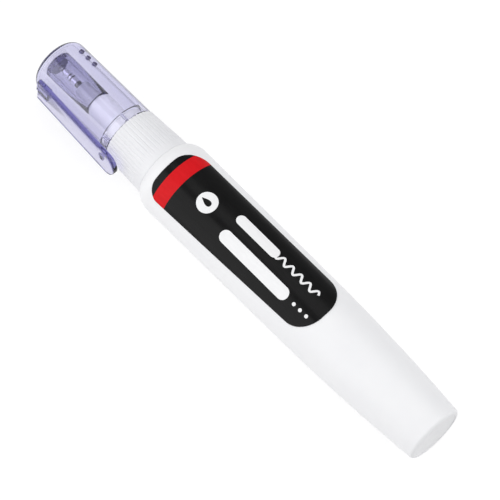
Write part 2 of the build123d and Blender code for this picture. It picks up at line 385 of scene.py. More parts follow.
def dress(piece, finish, body, slot, *nodes):
    """Give a piece its material, the body that carries it and the nodes that it stands for."""
    piece.data.materials.clear()
    piece.data.materials.append(finish)
    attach(piece, body)
    if nodes:
        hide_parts(*nodes)
    return piece


def cut(piece, tool, operation):
    """Apply an exact boolean to a piece and delete the tool."""
    step = piece.modifiers.new(operation.lower(), "BOOLEAN")
    step.solver = "EXACT"
    step.operation = operation
    step.object = tool
    graph = bpy.context.evaluated_depsgraph_get()
    made = bpy.data.meshes.new_from_object(piece.evaluated_get(graph))
    piece.modifiers.clear()
    old = piece.data
    name = old.name
    piece.data = made
    bpy.data.meshes.remove(old)
    made.name = name
    tool_data = tool.data
    bpy.data.objects.remove(tool)
    bpy.data.meshes.remove(tool_data)
    return piece


# Materials. A noise scale is the number of features in a metre, and a relief is in millimetres.
noise_low = 0.3
noise_high = 0.7
plastic_ior = 1.5
clear_ior = 1.49
soft_reach = 0.8
# Where clear plastic is grazed, its colour is painted towards a darker edge colour as painted shade
painted_edge_shade_start = 0.60
painted_edge_shade_full = 0.86
metal_pitch = 0.05
dark_share = 0.85
# Share of the metal's colour left in its rings of painted shade
painted_shade_share = 0.1


def new_material(name):
    """Material with nodes and its main shader."""
    finish = bpy.data.materials.new(name)
    finish.use_nodes = True
    tree = finish.node_tree
    return finish, tree.nodes, tree.links, tree.nodes["Principled BSDF"]


def noise_field(nodes, links, scale, detail=3.0, stretch=(1, 1, 1)):
    """Noise fixed to the piece."""
    where = nodes.new("ShaderNodeTexCoord")
    mapping = nodes.new("ShaderNodeMapping")
    mapping.inputs["Scale"].default_value = stretch
    noise = nodes.new("ShaderNodeTexNoise")
    noise.inputs["Scale"].default_value = scale
    noise.inputs["Detail"].default_value = detail
    links.new(where.outputs["Object"], mapping.inputs["Vector"])
    links.new(mapping.outputs["Vector"], noise.inputs["Vector"])
    return noise.outputs["Fac"]


def vary_roughness(nodes, links, shader, scale, low, high):
    """Change a shader's roughness between two limits from place to place."""
    spread = nodes.new("ShaderNodeMapRange")
    spread.inputs["From Min"].default_value = noise_low
    spread.inputs["From Max"].default_value = noise_high
    spread.inputs["To Min"].default_value = low
    spread.inputs["To Max"].default_value = high
    links.new(noise_field(nodes, links, scale), spread.inputs["Value"])
    links.new(spread.outputs["Result"], shader.inputs["Roughness"])


def vary_colour(nodes, links, shader, field, first, second):
    """Change a shader's colour between two colours by a noise field."""
    ramp = nodes.new("ShaderNodeValToRGB")
    ramp.color_ramp.elements[0].position = noise_low
    ramp.color_ramp.elements[0].color = (*first, 1)
    ramp.color_ramp.elements[1].position = noise_high
    ramp.color_ramp.elements[1].color = (*second, 1)
    links.new(field, ramp.inputs["Fac"])
    links.new(ramp.outputs["Color"], shader.inputs["Base Color"])


def bump(nodes, links, shader, field, relief, strength):
    """Raise and lower a surface by a noise field."""
    rise = nodes.new("ShaderNodeBump")
    rise.inputs["Strength"].default_value = strength
    rise.inputs["Distance"].default_value = relief * MM
    links.new(field, rise.inputs["Height"])
    links.new(rise.outputs["Normal"], shader.inputs["Normal"])


def moulded(name, first, second, rough_low, rough_high, grain=5000, relief=0.01, soft=0.0, gloss=0.5):
    """Moulded plastic or rubber with a fine grain and slight changes of tone and gloss."""
    finish, nodes, links, shader = new_material(name)
    vary_colour(nodes, links, shader, noise_field(nodes, links, scale=160), first, second)
    vary_roughness(nodes, links, shader, scale=900, low=rough_low, high=rough_high)
    bump(nodes, links, shader, noise_field(nodes, links, grain, detail=4), relief, strength=0.25)
    shader.inputs["IOR"].default_value = plastic_ior
    shader.inputs["Specular IOR Level"].default_value = gloss
    if soft:
        shader.inputs["Subsurface Weight"].default_value = soft
        shader.inputs["Subsurface Radius"].default_value = (1.0, 1.0, 1.0)
        shader.inputs["Subsurface Scale"].default_value = soft_reach * MM
    return finish


def printed(name, first, second, rough_low, rough_high, gloss):
    """Printed film: even ink with a faint grain along the bottle."""
    finish, nodes, links, shader = new_material(name)
    grain = noise_field(nodes, links, scale=1500, detail=4, stretch=(0.25, 1, 1))
    vary_colour(nodes, links, shader, grain, first, second)
    vary_roughness(nodes, links, shader, scale=500, low=rough_low, high=rough_high)
    film = noise_field(nodes, links, scale=7000, detail=2)
    bump(nodes, links, shader, film, relief=0.002, strength=0.2)
    shader.inputs["Specular IOR Level"].default_value = gloss
    return finish


def painted_shade_bands(nodes, links, shader, bands, colour, painted_shade):
    """Colour a turned piece by its height, with rings of painted shade between pairs of heights in rising
    order.
    """
    low = bands[0][0]
    high = bands[-1][1]
    where = nodes.new("ShaderNodeTexCoord")
    parts = nodes.new("ShaderNodeSeparateXYZ")
    share = nodes.new("ShaderNodeMapRange")
    share.inputs["From Min"].default_value = -low * MM
    share.inputs["From Max"].default_value = -high * MM
    ramp = nodes.new("ShaderNodeValToRGB")
    steps = ramp.color_ramp
    steps.interpolation = "CONSTANT"
    steps.elements.remove(steps.elements[1])
    steps.elements[0].color = (*painted_shade, 1)
    for start, end in bands:
        if start > low:
            steps.elements.new((start - low) / (high - low)).color = (*painted_shade, 1)
        steps.elements.new((end - low) / (high - low)).color = (*colour, 1)
    links.new(where.outputs["Object"], parts.inputs["Vector"])
    links.new(parts.outputs["X"], share.inputs["Value"])
    links.new(share.outputs["Result"], ramp.inputs["Fac"])
    links.new(ramp.outputs["Color"], shader.inputs["Base Color"])


def turned_metal(name, colour, rough_low, rough_high, bands=()):
    """Metal with fine turned lines round the pen's axis, and with bands of painted shade where they are
    given.
    """
    finish, nodes, links, shader = new_material(name)
    shader.inputs["Metallic"].default_value = 1.0
    if bands:
        painted_shade = tuple(painted_shade_share * part for part in colour)
        painted_shade_bands(nodes, links, shader, bands, colour, painted_shade)
    else:
        dark = tuple(dark_share * part for part in colour)
        vary_colour(nodes, links, shader, noise_field(nodes, links, scale=900), dark, colour)
    vary_roughness(nodes, links, shader, scale=2500, low=rough_low, high=rough_high)
    lines = noise_field(nodes, links, 1 / (metal_pitch * MM), detail=2, stretch=(1, 0.02, 0.02))
    bump(nodes, links, shader, lines, relief=0.01, strength=0.35)
    return finish


def clear_tinted(name, tint, density, roughness, edge, gloss, passing):
    """Clear plastic whose colour deepens with the thickness that is looked through.

    Where it is grazed its colour is painted towards the edge colour, as painted shade on its outlines.
    The passing share is what each surface lets through of a lamp's light, which reaches the pieces behind
    it without bending.
    """
    finish, nodes, links, shader = new_material(name)
    # Painted shade: the colour darkens towards the edge colour at grazing angles
    graze = nodes.new("ShaderNodeLayerWeight")
    graze.inputs["Blend"].default_value = 0.5
    rim = nodes.new("ShaderNodeValToRGB")
    rim.color_ramp.elements[0].position = painted_edge_shade_start
    rim.color_ramp.elements[0].color = (1, 1, 1, 1)
    rim.color_ramp.elements[1].position = painted_edge_shade_full
    rim.color_ramp.elements[1].color = (*edge, 1)
    links.new(graze.outputs["Facing"], rim.inputs["Fac"])
    links.new(rim.outputs["Color"], shader.inputs["Base Color"])
    shader.inputs["Transmission Weight"].default_value = 1.0
    shader.inputs["IOR"].default_value = clear_ior
    shader.inputs["Specular IOR Level"].default_value = gloss
    vary_roughness(nodes, links, shader, scale=700, low=roughness, high=2 * roughness)
    flow = noise_field(nodes, links, scale=220, detail=2)
    bump(nodes, links, shader, flow, relief=0.02, strength=0.08)
    depth = nodes.new("ShaderNodeVolumeAbsorption")
    depth.inputs["Color"].default_value = (*tint, 1)
    depth.inputs["Density"].default_value = density
    path = nodes.new("ShaderNodeLightPath")
    open_way = nodes.new("ShaderNodeBsdfTransparent")
    open_way.inputs["Color"].default_value = (passing, passing, passing, 1)
    choose = nodes.new("ShaderNodeMixShader")
    links.new(path.outputs["Is Shadow Ray"], choose.inputs["Fac"])
    links.new(shader.outputs["BSDF"], choose.inputs[1])
    links.new(open_way.outputs["BSDF"], choose.inputs[2])
    links.new(choose.outputs["Shader"], nodes["Material Output"].inputs["Surface"])
    links.new(depth.outputs["Volume"], nodes["Material Output"].inputs["Volume"])
    return finish


white_bottle = moulded(
    "white_bottle", (0.90, 0.90, 0.91), (0.92, 0.92, 0.925), 0.34, 0.46, grain=4200, relief=0.012, soft=0.15
)
white_collar = moulded(
    "white_collar", (0.83, 0.83, 0.85), (0.86, 0.86, 0.875), 0.30, 0.42, grain=5200, soft=0.1
)
white_holder = moulded(
    "white_holder", (0.92, 0.92, 0.93), (0.94, 0.94, 0.945), 0.30, 0.42, grain=5200, soft=0.1
)
natural_plastic = moulded("natural_plastic", (0.80, 0.80, 0.76), (0.84, 0.84, 0.80), 0.3, 0.45, soft=0.1)
white_fluid = moulded(
    "white_fluid", (0.93, 0.93, 0.92), (0.95, 0.95, 0.94), 0.1, 0.2, grain=600, relief=0.02
)
dark_seal = moulded("dark_seal", (0.24, 0.21, 0.42), (0.30, 0.27, 0.50), 0.55, 0.7, gloss=0.15)
grey_gasket = moulded("grey_gasket", (0.42, 0.42, 0.42), (0.5, 0.5, 0.5), 0.6, 0.75)
# Dark opaque lavender for the walls of the cap's vents, as painted shade in the holes
vent_painted_shade = moulded("vent_painted_shade", (0.24, 0.22, 0.36), (0.28, 0.26, 0.40), 0.5, 0.6)
black_print = printed("black_print", (0.003, 0.003, 0.003), (0.005, 0.005, 0.005), 0.18, 0.26, 0.15)
red_print = printed("red_print", (0.66, 0.006, 0.010), (0.72, 0.008, 0.013), 0.34, 0.42, 0.12)
white_print = printed("white_print", (0.90, 0.90, 0.90), (0.93, 0.93, 0.93), 0.38, 0.46, 0.3)
# Rings where the tip is painted dark as shade: its foot by the nozzle, a ring on its base and its steps
base_ring = tip_middle_start - base_ring_setback
tip_painted_shade_rings = (
    (nozzle_front, nozzle_front + foot_ring_length),
    (base_ring, base_ring + base_ring_length),
    (tip_middle_start - tip_groove_width, tip_middle_start + ring_margin),
    (tip_point_start - tip_groove_width - ring_margin, tip_point_start + ring_margin),
)
tip_metal = turned_metal("tip_metal", (0.92, 0.91, 0.90), 0.25, 0.36, tip_painted_shade_rings)
steel = turned_metal("steel", (0.54, 0.54, 0.55), 0.2, 0.3)
# The edge colours are painted shade on the outlines of the clear pieces, lighter on the clip
clear_lavender = clear_tinted(
    "clear_lavender", (0.34, 0.32, 0.69), 255.0, 0.02, edge=(0.01, 0.01, 0.02), gloss=0.15, passing=0.7
)
clip_lavender = clear_tinted(
    "clip_lavender", (0.34, 0.31, 0.69), 380.0, 0.04, edge=(0.7, 0.66, 0.9), gloss=0.3, passing=0.7
)
deep_lavender = clear_tinted(
    "deep_lavender", (0.37, 0.35, 0.62), 460.0, 0.03, edge=(0.03, 0.03, 0.08), gloss=0.0, passing=1.0
)

# Bottle
cone_slope = (shoulder_radius - taper_radius) / (body_length - taper_length)
cone_inward = Vector((-1, cone_slope)).normalized()


def tangent_circle(start, end):
    """Centre and radius of the circle that leaves the cone's side at a start and passes an end."""
    chord = end - start
    curve = chord.length_squared / (2 * chord.dot(cone_inward))
    return start + cone_inward * curve, curve


def bottle_radius(height):
    """Outside radius of the bottle: a slow curve, then a straight cone, then the shoulder."""
    if taper_length <= height <= body_length:
        return taper_radius + cone_slope * (height - taper_length)
    start = Vector((taper_radius, taper_length))
    end = Vector((tail_radius, 0))
    if height > body_length:
        start = Vector((shoulder_radius, body_length))
        end = Vector((seat_radius, seat_height))
    centre, curve = tangent_circle(start, end)
    return centre.x + math.sqrt(curve ** 2 - (height - centre.y) ** 2)


def shoulder_arc(inset):
    """Rounded shoulder from the cone up to the collar's seat."""
    foot = Vector((shoulder_radius - inset, body_length))
    crown = Vector((seat_radius - inset, seat_height - inset))
    return arc_between(foot, crown, tangent_circle(foot, crown)[0], 4 * arc_steps)


def bottle_side(low, inset):
    """Side of the bottle from a low height up to the shoulder."""
    heights = [low + (body_length - low) * step / side_rows for step in range(side_rows)]
    return [(bottle_radius(height) - inset, height) for height in heights]


tail_flat = bottle_radius(tail_edge) - tail_edge
tail_turn = arc_between(
    (tail_flat, 0),
    (tail_flat + tail_edge, tail_edge),
    (tail_flat, tail_edge),
    2 * arc_steps,
)
dish_radius = tail_flat - dish_margin
dish_side = arc_between(
    (dish_radius - dish_depth, dish_depth),
    (dish_radius, 0),
    (dish_radius - dish_depth, 0),
    arc_steps,
)
bead_low = seat_height + bead_rise
bottle_profile = [(0, dish_depth)] + dish_side + tail_turn + bottle_side(tail_edge, 0)[1:] + shoulder_arc(0)
bottle_profile += [
    (neck_radius, seat_height),
    (neck_radius, bead_low),
    (neck_radius + bead_height, bead_low + bead_width / 2),
    (neck_radius, bead_low + bead_width),
    (neck_radius, neck_end),
    (neck_bore, neck_end),
    (neck_bore, seat_height - bottle_wall),
]
bottle_profile += shoulder_arc(bottle_wall)[::-1] + bottle_side(bottle_wall, bottle_wall)[::-1]
bottle_profile += [(0, bottle_wall)]
bottle = finish_mesh(spin(bottle_profile, even_turns(round_count)), "bottle")
dress(bottle, white_bottle, "pen", "white_bottle", "barrel")

# Label and print


def wrap(height, across, lift):
    """Point on the bottle at a distance across the label, measured round the bottle from its middle."""
    radius = bottle_radius(height)
    return place(radius + lift, height, label_turn + math.degrees(across / radius))


def wrapped_panel(name, outline, low, high, finish, *nodes):
    """Thin panel on the bottle from an outline of heights and distances across."""
    mesh = bmesh.new()
    mesh.faces.new([mesh.verts.new((height, across, high)) for height, across in outline])
    heights = [height for height, across in outline]
    widths = [across for height, across in outline]
    for axis, limits, pitch in ((0, heights, panel_pitch_along), (1, widths, panel_pitch_across)):
        for step in range(1, int((max(limits) - min(limits)) / pitch) + 1):
            point = [0, 0, 0]
            normal = [0, 0, 0]
            point[axis] = min(limits) + pitch * step
            normal[axis] = 1
            everything = mesh.verts[:] + mesh.edges[:] + mesh.faces[:]
            bmesh.ops.bisect_plane(mesh, geom=everything, dist=1e-6, plane_co=point, plane_no=normal)
    lower = bmesh.ops.extrude_face_region(mesh, geom=mesh.faces[:])
    for part in lower["geom"]:
        if isinstance(part, bmesh.types.BMVert):
            part.co.z = low
    for corner in mesh.verts:
        corner.co = wrap(*corner.co)
    bmesh.ops.recalc_face_normals(mesh, faces=mesh.faces)
    return dress(finish_mesh(mesh, name), finish, "pen", "black_print", *nodes)


def clean_outline(points):
    """Outline without points that repeat the one before."""
    kept = []
    for point in points:
        if not kept or (Vector(point) - Vector(kept[-1])).length > same_point:
            kept.append(point)
    if (Vector(kept[0]) - Vector(kept[-1])).length < same_point:
        kept.pop()
    return kept


def corner_arc(centre, start, size, steps=14):
    """Quarter turn of an outline about a centre, from a starting angle in degrees."""
    angles = [math.radians(start + 90 * step / steps) for step in range(steps + 1)]
    return [(centre[0] + size * math.cos(angle), centre[1] + size * math.sin(angle)) for angle in angles]


def bar_outline(rear, front, middle, width):
    """Bar along the bottle with round ends."""
    half = width / 2
    ends = corner_arc((front - half, middle), 0, half) + corner_arc((rear + half, middle), 90, half)
    ends += corner_arc((rear + half, middle), 180, half) + corner_arc((front - half, middle), 270, half)
    return clean_outline(ends)


def round_across(height, chord):
    """Distance round the bottle for a straight distance across it."""
    radius = bottle_radius(height)
    return radius * math.asin(chord / radius)


half_front = label_chord / 2
half_rear = half_front - label_taper / 2
label_corners = soften(
    [
        (label_front, half_front + label_lean / 2),
        (label_rear, half_rear - label_lean / 2),
        (label_rear, -half_rear - label_lean / 2),
        (label_front, label_lean / 2 - half_front),
    ],
    (label_front_low_corner, label_rear_corner, label_rear_corner, label_front_high_corner),
    label_corner_steps,
)
label_outline = [(height, round_across(height, chord)) for height, chord in clean_outline(label_corners)]
wrapped_panel("label_film", label_outline, label_underside, label_top, black_print, "label")


def trimmed(outline, limit, side):
    """Part of an outline on one side of a height: 1 keeps what is above it, -1 what is below."""
    kept = []
    for index, point in enumerate(outline):
        before = outline[index - 1]
        was_in = (before[0] - limit) * side >= 0
        is_in = (point[0] - limit) * side >= 0
        if was_in != is_in:
            share = (limit - before[0]) / (point[0] - before[0])
            kept.append((limit, before[1] + (point[1] - before[1]) * share))
        if is_in:
            kept.append(point)
    return kept


def ribbon_outline(points, width):
    """Outline of a line of even width through points."""
    left = []
    right = []
    for index, point in enumerate(points):
        before = Vector(points[max(index - 1, 0)])
        after = Vector(points[min(index + 1, len(points) - 1)])
        along = (after - before).normalized()
        aside = Vector((-along.y, along.x)) * width / 2
        left.append(tuple(Vector(point) + aside))
        right.append(tuple(Vector(point) - aside))
    return left + right[::-1]


inner_outline = [(height, across * band_width_share) for height, across in label_outline]
band_outline = clean_outline(trimmed(trimmed(inner_outline, band_rear, 1), band_front, -1))
wrapped_panel("print_red_band", band_outline, label_top, print_top, red_print)

white_marks = {
    "print_stroke_long": bar_outline(long_stroke_rear, stroke_front, long_stroke_across, long_stroke_width),
    "print_stroke_short": bar_outline(
        short_stroke_rear, stroke_front, short_stroke_across, short_stroke_width
    ),
}
scribble = []
for step in range(scribble_steps + 1):
    share = step / scribble_steps
    height = scribble_front + (scribble_rear - scribble_front) * share
    wave = scribble_height * math.sin(2 * math.pi * scribble_waves * share)
    scribble.append((height, short_stroke_across + wave))
white_marks["print_scribble"] = ribbon_outline(scribble, scribble_width)
for step in range(dot_count):
    rear = dot_rear + dot_pitch * step
    outline = bar_outline(rear, rear + dot_length, long_stroke_across, dot_width)
    white_marks[f"print_dot_{step + 1}"] = outline
white_marks["print_disc"] = bar_outline(
    disc_height - disc_radius, disc_height + disc_front_radius, disc_across, 2 * disc_radius
)
for name, outline in white_marks.items():
    wrapped_panel(name, outline, label_top, print_top, white_print)
drop_outline = []
for step in range(drop_steps):
    angle = 2 * math.pi * step / drop_steps
    taper = math.sin(angle / 2) ** drop_sharpness
    height = disc_height + drop_rise + drop_reach * math.cos(angle)
    drop_outline.append((height, disc_across + drop_radius * math.sin(angle) * taper))
wrapped_panel("print_drop", clean_outline(drop_outline), print_top, mark_top, black_print)

# Collar


def flute_dip(offset, width, depth):
    """Depth of a flute with a round bottom at a distance from its middle line."""
    if abs(offset) >= width / 2:
        return 0.0
    curve = (width ** 2 / 4 + depth ** 2) / (2 * depth)
    return math.sqrt(curve ** 2 - offset ** 2) - (curve - depth)


def collar_shape(row, radius, height, turn):
    """Collar's outside with flutes that fade out above its base."""
    if row not in fluted_rows:
        return radius
    offset = math.radians(from_nearest(turn, flute_count)) * radius
    fade = min(1.0, max(0.0, (height - seat_height - flute_margin) / flute_fade))
    return radius - flute_dip(offset, flute_width, flute_depth) * fade


collar_foot = seat_height + collar_foot_edge
collar_side_end = collar_front - collar_front_edge
collar_outside = []
for step in range(1, collar_rows + 1):
    share = step / collar_rows
    height = collar_foot + (collar_side_end - collar_foot) * share
    collar_outside.append((collar_base_radius + (collar_front_radius - collar_base_radius) * share, height))
collar_outside += arc_between(
    (collar_front_radius, collar_side_end),
    (collar_front_radius - collar_front_edge, collar_front),
    (collar_front_radius - collar_front_edge, collar_side_end),
    collar_edge_steps,
)[1:]
collar_profile = [
    (collar_bore, seat_height),
    (collar_base_radius - collar_foot_edge, seat_height),
    (collar_base_radius, collar_foot),
]
fluted_rows = range(len(collar_profile), len(collar_profile) + len(collar_outside))
collar_profile += collar_outside
collar_profile += [
    (collar_lip_bore + collar_lip_edge, collar_front),
    (collar_lip_bore, collar_front - collar_lip_edge),
    (collar_lip_bore, flange_top),
    (collar_bore, flange_top),
    (collar_bore, bead_low + bead_width + fit),
    (collar_bore + bead_height, bead_low + bead_width / 2),
    (collar_bore, bead_low - fit),
]
collar_mesh = spin(collar_profile, even_turns(flute_count * flute_steps), collar_shape)
collar = finish_mesh(collar_mesh, "collar", collar_crease_angle)
dress(collar, white_collar, "pen", "white_collar", "fluted_collar")

# Tip holder and metal tip
holder_profile = soften(
    [
        (spigot_bore, flange_height),
        (flange_radius, flange_height),
        (flange_radius, flange_top),
        (spigot_radius, flange_top),
        (spigot_radius, spigot_front - spigot_chamfer),
        (spigot_radius - spigot_chamfer, spigot_front),
        (tube_radius, spigot_front),
        (tube_radius, tube_front),
        (nozzle_base_radius, tube_front),
        (nozzle_front_radius, nozzle_front),
        (tip_base_radius + fit, nozzle_front),
        (tip_base_radius + fit, tip_root_end),
        (tip_root_radius + fit, tip_root_end),
        (tip_root_radius + fit, chamber_front),
        (chamber_radius, chamber_front),
        (chamber_radius, chamber_rear),
        (chamber_outside, chamber_rear),
        (chamber_outside, spigot_front - spigot_front_wall),
        (spigot_bore, spigot_front - spigot_front_wall),
    ],
    holder_edge,
)
holder = finish_mesh(spin(holder_profile, even_turns(holder_round_count)), "nozzle_holder")
dress(holder, white_holder, "pen", "white_collar", "tip_holder")
tip_profile = soften(
    [
        (tip_bore, tip_root_end - tip_root_length),
        (tip_root_radius, tip_root_end - tip_root_length),
        (tip_root_radius, tip_root_end),
        (tip_base_radius, tip_root_end),
        (tip_base_radius, tip_middle_start - tip_groove_width),
        (tip_middle_radius - tip_groove_depth, tip_middle_start - tip_groove_width),
        (tip_middle_radius - tip_groove_depth, tip_middle_start),
        (tip_middle_radius, tip_middle_start),
        (tip_middle_radius, tip_point_start - tip_groove_width),
        (tip_point_radius - tip_groove_depth, tip_point_start - tip_groove_width),
        (tip_point_radius - tip_groove_depth, tip_point_start),
        (tip_point_radius, tip_point_start),
        (tip_end_radius, tip_end),
        (tip_pin_bore, tip_end),
        (tip_pin_bore, tip_seat + tip_seat_rise),
        (tip_bore, tip_seat),
    ],
    tip_edge,
)
tip = finish_mesh(spin(tip_profile, even_turns(tip_round_count)), "tip_tube")
dress(tip, tip_metal, "pen", "tip_metal", "metal_tip")

# Cap
rib_half = math.degrees(grip_rib_width / 2 / cap_bore)
rib_edge = rib_half + grip_rib_side
cap_turns = set(even_turns(round_count))
for centre in even_turns(grip_rib_count):
    for offset in (-rib_edge, -rib_half, rib_half, rib_edge):
        cap_turns.add((centre + offset) % 360)


def cap_shape(row, radius, height, turn):
    """Cap's bore drawn in at the grip ribs."""
    if row not in ribbed_rows:
        return radius
    share = (rib_edge - abs(from_nearest(turn, grip_rib_count))) / grip_rib_side
    return radius + (grip_rib_inner - radius) * min(1.0, max(0.0, share))


wall_low = cap_mouth + cap_mouth_edge
wall_high = cap_end - cap_end_round
wall_heights = [wall_low + (wall_high - wall_low) * step / cap_rows for step in range(cap_rows)]
mouth_bore = cap_bore + cap_mouth_step
step_height = cap_mouth + cap_mouth_depth
rib_foot = cap_mouth + grip_rib_setback
cap_profile = [
    (mouth_bore, wall_low),
    (mouth_bore + cap_mouth_edge, cap_mouth),
    (cap_radius - cap_mouth_edge, cap_mouth),
]
cap_profile += [(cap_radius, height) for height in wall_heights]
cap_profile += arc_between(
    (cap_radius, wall_high),
    (cap_radius - cap_end_round, cap_end),
    (cap_radius - cap_end_round, wall_high),
    2 * arc_steps,
)
cap_profile += [
    (cap_radius * cap_middle_share, cap_end),
    (0, cap_end),
    (0, cap_ceiling),
    (cap_radius * cap_middle_share, cap_ceiling),
]
cap_profile += arc_between(
    (cap_bore - cap_ceiling_round, cap_ceiling),
    (cap_bore, cap_ceiling - cap_ceiling_round),
    (cap_bore - cap_ceiling_round, cap_ceiling - cap_ceiling_round),
    ceiling_steps,
)
cap_profile += [(cap_bore, bore_row_top - bore_row_pitch * row) for row in range(bore_row_count)]
cap_profile += [(cap_bore, spigot_front + grip_rib_end)]
ribbed_profile = [
    (cap_bore, spigot_front),
    (cap_bore, step_height),
    (mouth_bore, step_height),
    (mouth_bore, rib_foot + grip_rib_end),
]
ribbed_rows = range(len(cap_profile), len(cap_profile) + len(ribbed_profile))
cap_profile += ribbed_profile + [(mouth_bore, rib_foot)]
cap = finish_mesh(spin(cap_profile, sorted(cap_turns), cap_shape), "cap_body")


def radial_pin(radius, low, high, height, turn, count=40):
    """Round tool lying along a radius of the pen."""
    mesh = bmesh.new()
    angle = math.radians(turn)
    outward = Vector((0, -math.sin(angle), math.cos(angle)))
    aside = Vector((0, math.cos(angle), math.sin(angle)))
    rings = []
    for reach in (low, high):
        ring = []
        for spoke in even_turns(count):
            swing = math.radians(spoke)
            around = Vector((1, 0, 0)) * math.cos(swing) + aside * math.sin(swing)
            ring.append(mesh.verts.new(place(0, height, 0) + (outward * reach + around * radius) * MM))
        rings.append(ring)
    join_rings(mesh, *rings)
    for ring in rings:
        mesh.faces.new(ring)
    bmesh.ops.recalc_face_normals(mesh, faces=mesh.faces)
    return finish_mesh(mesh, "tool")


# Clip, drawn about its pivot: x outwards from the pen, y across, z towards the cap's end
seat_clip = Matrix.Rotation(math.radians(-clip_turn), 4, "Z")
lie_down = Matrix(((0, 0, -1, 0), (0, 1, 0, 0), (1, 0, 0, 0), (0, 0, 0, 1)))
bridge_place = lie_down @ seat_clip
clip_place = (
    bridge_place
    @ Matrix.Translation((pivot_radius, 0, pivot_height))
    @ Matrix.Rotation(math.radians(-clip_lean), 4, "Y")
)


def seated(mesh, place_matrix):
    """Carry a mesh drawn in millimetres to its place in the frame, in metres."""
    bmesh.ops.transform(mesh, matrix=Matrix.Scale(MM, 4) @ place_matrix, verts=mesh.verts)
    bmesh.ops.recalc_face_normals(mesh, faces=mesh.faces)
    return mesh


def rounded_section(half_thickness, half_width, size, along, steps=5):
    """Rounded rectangle across the clip at a place along it. Its corners never quite meet."""
    size = min(size, round_limit * half_thickness, round_limit * half_width)
    points = []
    for corner, (side_x, side_y) in enumerate(((1, 1), (-1, 1), (-1, -1), (1, -1))):
        centre_x = side_x * (half_thickness - size)
        centre_y = side_y * (half_width - size)
        for step in range(steps + 1):
            angle = math.radians(90 * corner + 90 * step / steps)
            points.append((centre_x + size * math.cos(angle), centre_y + size * math.sin(angle), along))
    return points


def loft(sections):
    """Closed mesh through sections of the same number of points."""
    mesh = bmesh.new()
    rings = [[mesh.verts.new(point) for point in section] for section in sections]
    for first, second in zip(rings, rings[1:]):
        join_rings(mesh, first, second)
    mesh.faces.new(rings[0])
    mesh.faces.new(rings[-1])
    bmesh.ops.recalc_face_normals(mesh, faces=mesh.faces)
    return mesh


def clip_sections(extra, edge_round):
    """Sections of the clip from its round root to its round free end, made thicker by extra."""
    half_thickness = clip_thickness / 2 + extra
    half_width = clip_width / 2 + extra
    bend = clip_thickness / 2 - clip_length + clip_width / 2
    sections = []
    for step in range(1, clip_steps + 1):
        swing = math.radians(90) * step / clip_steps
        thick = half_thickness * math.sin(swing)
        sections.append(rounded_section(thick, half_width, edge_round, half_thickness * math.cos(swing)))
    for step in range(1, clip_steps + 1):
        sections.append(rounded_section(half_thickness, half_width, edge_round, bend * step / clip_steps))
    for step in range(1, 2 * clip_steps + 1):
        swing = math.radians(clip_end_sweep) * step / (2 * clip_steps)
        along = bend - half_width * math.sin(swing)
        sections.append(rounded_section(half_thickness, half_width * math.cos(swing), edge_round, along))
    return sections


def bridge_block():
    """Block on the cap that carries the clip."""
    inner = cap_radius - bridge_sink
    low = pivot_height + clip_thickness / 2 - bridge_length
    high = pivot_height + clip_thickness / 2 + bridge_back
    middle = (inner + pivot_radius) / 2
    half = (pivot_radius - inner) / 2
    sections = []
    for along in (low, low + bridge_end_step, high - bridge_end_step, high):
        section = rounded_section(half, bridge_width / 2, bridge_edge_round, along)
        sections.append([(x + middle, y, z) for x, y, z in section])
    return seated(loft(sections), bridge_place)


def nub_mesh():
    """Low round bump on the clip's inner face, near its free end."""
    mesh = bmesh.new()
    bmesh.ops.create_uvsphere(mesh, u_segments=40, v_segments=24, radius=clip_nub_radius)
    centre = -clip_thickness / 2 - clip_nub_height + clip_nub_radius
    along = clip_thickness / 2 - clip_length + clip_nub_setback
    everything = mesh.verts[:] + mesh.edges[:] + mesh.faces[:]
    depth = clip_nub_height - clip_nub_radius + clip_nub_sink
    bmesh.ops.bisect_plane(
        mesh, geom=everything, plane_co=(depth, 0, 0), plane_no=(1, 0, 0), clear_outer=True
    )
    rim = [edge for edge in mesh.edges if edge.is_boundary]
    bmesh.ops.contextual_create(mesh, geom=rim)
    bmesh.ops.translate(mesh, vec=(centre, 0, along), verts=mesh.verts)
    return seated(mesh, clip_place)


bridge = finish_mesh(bridge_block(), "bridge_tool")
clearance_mesh = seated(loft(clip_sections(hinge_clearance, hinge_edge_round)), clip_place)
cut(bridge, finish_mesh(clearance_mesh, "clearance_tool"), "DIFFERENCE")
cut(cap, bridge, "UNION")
vent_heights = [cap_end - vent_setback - vent_pitch * step for step in range(vent_count)]
for height in vent_heights:
    pin = radial_pin(vent_radius, cap_bore - vent_tool_reach, cap_radius + vent_tool_reach, height, vent_turn)
    cut(cap, pin, "DIFFERENCE")
shade(cap.data)
dress(cap, clear_lavender, "cap", "clear_lavender", "cap_shell")


def is_vent_wall(face, height):
    """True for a face of the cap on the wall of the vent at a height."""
    outward = place(1, 0, vent_turn) / MM
    spoke = (face.center - place(cap_radius, height, vent_turn)) / MM
    aside = spoke - outward * spoke.dot(outward)
    near_axis = aside.length < vent_radius * vent_wall_reach
    near_mouth = spoke.length < 2 * (cap_radius - cap_bore)
    return near_axis and near_mouth and abs(face.normal.dot(outward)) < vent_wall_lean


# The vent walls take the dark lavender as painted shade in the holes through the clear cap
cap.data.materials.append(vent_painted_shade)
for face in cap.data.polygons:
    if any(is_vent_wall(face, height) for height in vent_heights):
        face.material_index = 1

clip = finish_mesh(seated(loft(clip_sections(0, clip_edge_round)), clip_place), "clip_tongue")
cut(clip, finish_mesh(nub_mesh(), "nub_tool"), "UNION")
shade(clip.data)
dress(clip, clip_lavender, "clip", "clear_lavender", "cap_clip")

